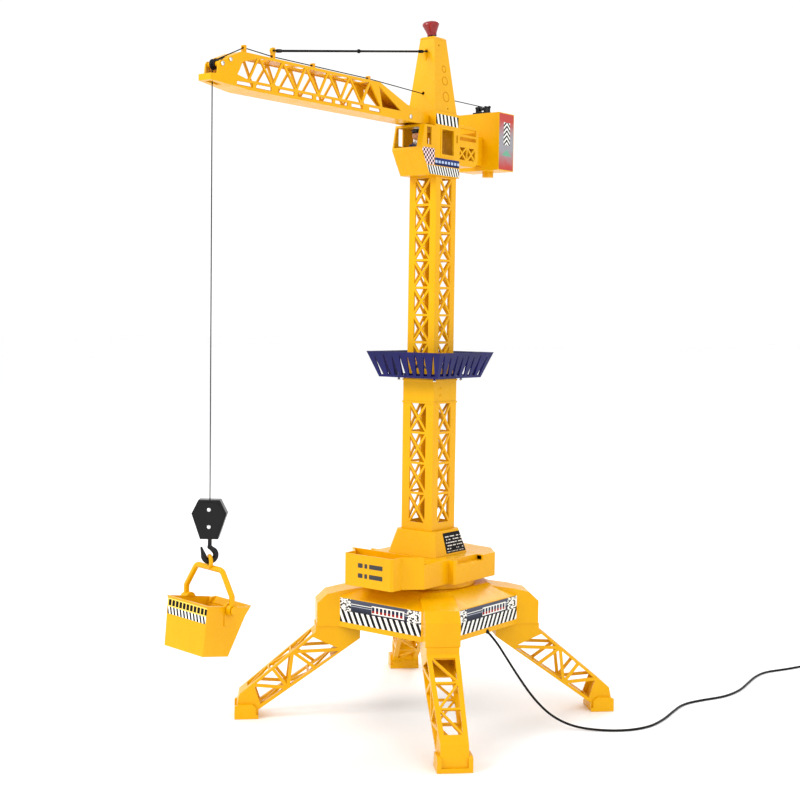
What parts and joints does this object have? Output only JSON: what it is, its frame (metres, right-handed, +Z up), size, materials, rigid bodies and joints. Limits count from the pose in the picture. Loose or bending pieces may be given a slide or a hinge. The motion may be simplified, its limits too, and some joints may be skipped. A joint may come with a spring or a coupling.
{
  "type": "toy tower crane",
  "caption": "Yellow toy tower crane on splayed lattice legs, with slewing tower, cab, jib, winch line, hook with tipping bucket, and a wired handset.",
  "frame": {"origin": "on the floor under the slewing axis", "axes": "+Z up along the slewing axis, +X along the jib at rest, +Y to the jib's left"},
  "size_m": [1.4593, 0.901, 1.2],
  "materials": {
    "yellow_plastic": "gloss, warm golden yellow",
    "blue_plastic": "satin, deep navy",
    "black_plastic": "gloss",
    "red_lens": "translucent red",
    "white_plastic": "matte",
    "grey_plastic": "matte",
    "steel": "bright",
    "brass": "plain",
    "cable_rubber": "soft sheen",
    "line_cord": "braided",
    "figure_paint": "painted",
    "board_green": "matte",
    "cell_jacket": "satin"
  },
  "bodies": {
    "base": {"base_hub_cover": "yellow_plastic", "base_bottom_plate": "grey_plastic", "leg_front_left": "yellow_plastic", "leg_front_right": "yellow_plastic", "leg_rear_left": "yellow_plastic", "leg_rear_right": "yellow_plastic", "leg_screws": "steel", "slew_motor": "steel", "cable_boots": "cable_rubber", "remote_cord": "cable_rubber", "remote_cord_end": "cable_rubber", "remote_coil": "cable_rubber", "handset_bottom": "yellow_plastic", "handset_top": "yellow_plastic", "battery_cells": "cell_jacket", "circuit_board": "board_green"},
    "motor_pinion": {"slew_pinion": "brass"},
    "crane": {"slew_gear": "white_plastic", "turntable_platform": "yellow_plastic", "tower_pedestal": "yellow_plastic", "lower_tower_front_shell": "yellow_plastic", "lower_tower_rear_shell": "yellow_plastic", "upper_tower_front_shell": "yellow_plastic", "upper_tower_rear_shell": "yellow_plastic", "tower_coupler": "grey_plastic", "service_platform": "blue_plastic", "crane_screws": "steel", "cab_left_shell": "yellow_plastic", "cab_right_shell": "yellow_plastic", "cab_interior": "grey_plastic", "driver_figure": "figure_paint", "tower_head": "yellow_plastic", "beacon_holder": "black_plastic", "beacon_lens": "red_lens", "jib_left_shell": "yellow_plastic", "jib_right_shell": "yellow_plastic", "jib_pins": "steel", "counter_jib_frame": "yellow_plastic", "machine_box_front": "yellow_plastic", "machine_box_rear": "yellow_plastic", "line_guide": "black_plastic", "winch_motor": "steel", "hoist_line_jib": "line_cord", "hoist_line_drop": "line_cord", "pendant_cord": "line_cord", "pendant_fittings": "line_cord"},
    "drum": {"winch_drum": "white_plastic"},
    "drum_pinion": {"winch_pinion": "brass"},
    "sheave": {"tip_sheave": "black_plastic"},
    "roller": {"guide_roller": "black_plastic"},
    "hanging_block": {"hook_block_front": "black_plastic", "hook_block_rear": "black_plastic", "block_rivets": "steel"},
    "lifting_hook": {"hook": "black_plastic"},
    "bail": {"bucket_bail": "yellow_plastic"},
    "tub": {"bucket": "yellow_plastic"},
    "lever_hoist": {"hoist_lever": "black_plastic"},
    "lever_slew": {"slew_lever": "black_plastic"},
    "switch": {"power_switch": "black_plastic"},
    "cell_door": {"battery_door": "grey_plastic"}
  },
  "joints": [
    {"name": "slew", "type": "hinge", "parent": "base", "child": "crane", "pos_m": [0, 0, 0.24], "axis": [0, 0, 1], "range_deg": [-175, 175]},
    {"name": "slew_pinion_spin", "type": "hinge", "parent": "base", "child": "motor_pinion", "pos_m": [0.039, 0, 0.197], "axis": [0, 0, 1], "continuous": true},
    {"name": "hoist", "type": "slide", "parent": "crane", "child": "hanging_block", "axis": [0, 0, 1], "range_m": [-0.18, 0.54], "deforming": ["hoist_line_drop"]},
    {"name": "drum_spin", "type": "hinge", "parent": "crane", "child": "drum", "pos_m": [-0.158, 0, 1.022], "axis": [0, 1, 0], "continuous": true},
    {"name": "winch_pinion_spin", "type": "hinge", "parent": "crane", "child": "drum_pinion", "pos_m": [-0.158, 0, 0.9996], "axis": [0, 1, 0], "continuous": true},
    {"name": "sheave_spin", "type": "hinge", "parent": "crane", "child": "sheave", "pos_m": [0.521, 0, 1.0485], "axis": [0, 1, 0], "continuous": true},
    {"name": "roller_spin", "type": "hinge", "parent": "crane", "child": "roller", "pos_m": [0.507, 0, 1.056], "axis": [0, 1, 0], "continuous": true},
    {"name": "hook_swivel", "type": "hinge", "parent": "hanging_block", "child": "lifting_hook", "pos_m": [0.526, 0, 0.372], "axis": [0, 0, 1], "continuous": true},
    {"name": "bail_swing", "type": "hinge", "parent": "lifting_hook", "child": "bail", "pos_m": [0.526, 0, 0.3367], "axis": [-0.866, 0.5, 0], "range_deg": [-22, 18]},
    {"name": "bucket_tip", "type": "hinge", "parent": "bail", "child": "tub", "pos_m": [0.52378, -0.00385, 0.27315], "axis": [-0.0011, 0.9982, -0.0604], "range_deg": [-55, 55]},
    {"name": "hoist_lever_tilt", "type": "hinge", "parent": "base", "child": "lever_hoist", "pos_m": [-0.869, 0.577, 0.026], "axis": [1, 0, 0], "range_deg": [-14, 14], "stiffness_Nm_per_rad": 0.02},
    {"name": "slew_lever_tilt", "type": "hinge", "parent": "base", "child": "lever_slew", "pos_m": [-0.831, 0.577, 0.026], "axis": [1, 0, 0], "range_deg": [-14, 14], "stiffness_Nm_per_rad": 0.02},
    {"name": "power_slide", "type": "slide", "parent": "base", "child": "switch", "axis": [1, 0, 0], "range_m": [0, 0.007]},
    {"name": "battery_door_slide", "type": "slide", "parent": "base", "child": "cell_door", "axis": [0, 1, 0], "range_m": [0, 0.06]}
  ],
  "couplings": [
    {"joint": "slew_pinion_spin", "follows": "slew", "ratio": -5.5},
    {"joint": "drum_spin", "follows": "hoist", "rad_per_m": 113.64},
    {"joint": "winch_pinion_spin", "follows": "hoist", "rad_per_m": -416.67},
    {"joint": "sheave_spin", "follows": "hoist", "rad_per_m": -200},
    {"joint": "roller_spin", "follows": "hoist", "rad_per_m": -250}
  ]
}
